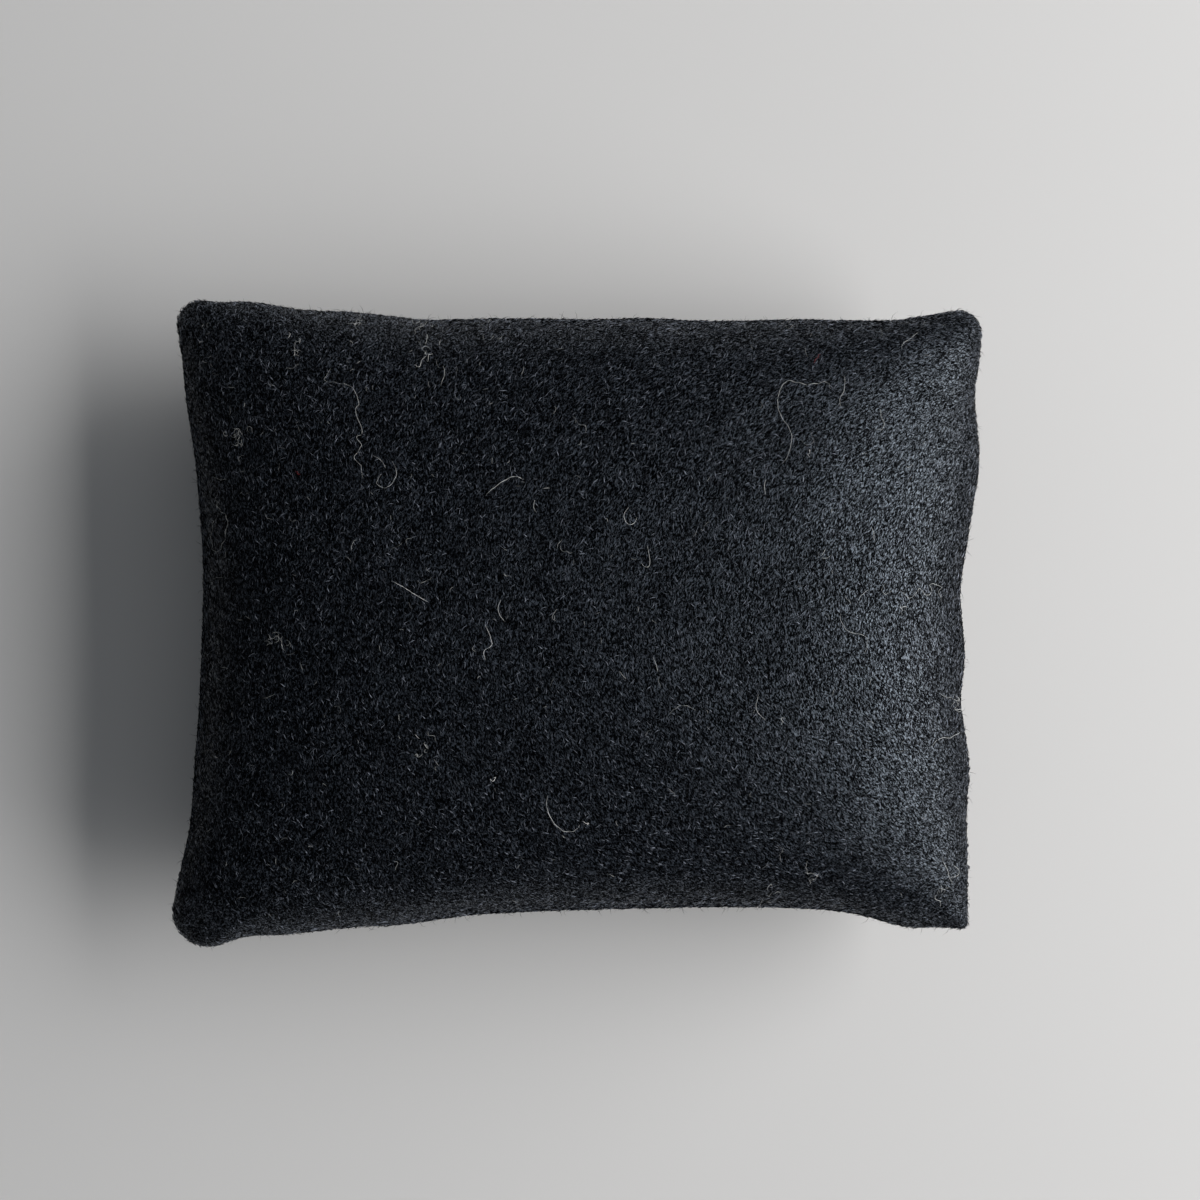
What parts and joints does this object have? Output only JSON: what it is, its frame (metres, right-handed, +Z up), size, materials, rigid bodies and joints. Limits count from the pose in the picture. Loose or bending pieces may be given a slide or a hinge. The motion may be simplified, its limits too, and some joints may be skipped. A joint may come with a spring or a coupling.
{
  "type": "needle felting pad",
  "caption": "Plump rectangular pillow of black wool felt, sewn from two panels, filled with carded wool and closed by hand; the soft base under a piece being needle felted",
  "frame": {"origin": "centre of the pad's outline, on the surface that the pad lies on", "axes": "+X along the long sides, towards the side with the closing stitches; +Y along the short sides; +Z up, from belly to crown"},
  "size_m": [0.1494, 0.1196, 0.0475],
  "materials": {
    "felt": "black wool felt, matt, with a brushed nap",
    "thread": "black twisted sewing thread",
    "wool": "undyed carded wool, loose"
  },
  "bodies": {
    "root": {"bottom_panel": "felt", "top_panel": "felt", "seam_thread": "thread", "closing_thread": "thread", "wool_batt_lower_2": "wool", "wool_batt_lower_1": "wool", "wool_batt_core": "wool", "wool_batt_upper_1": "wool", "wool_batt_upper_2": "wool", "wool_batt_upper_3": "wool"}
  },
  "joints": []
}
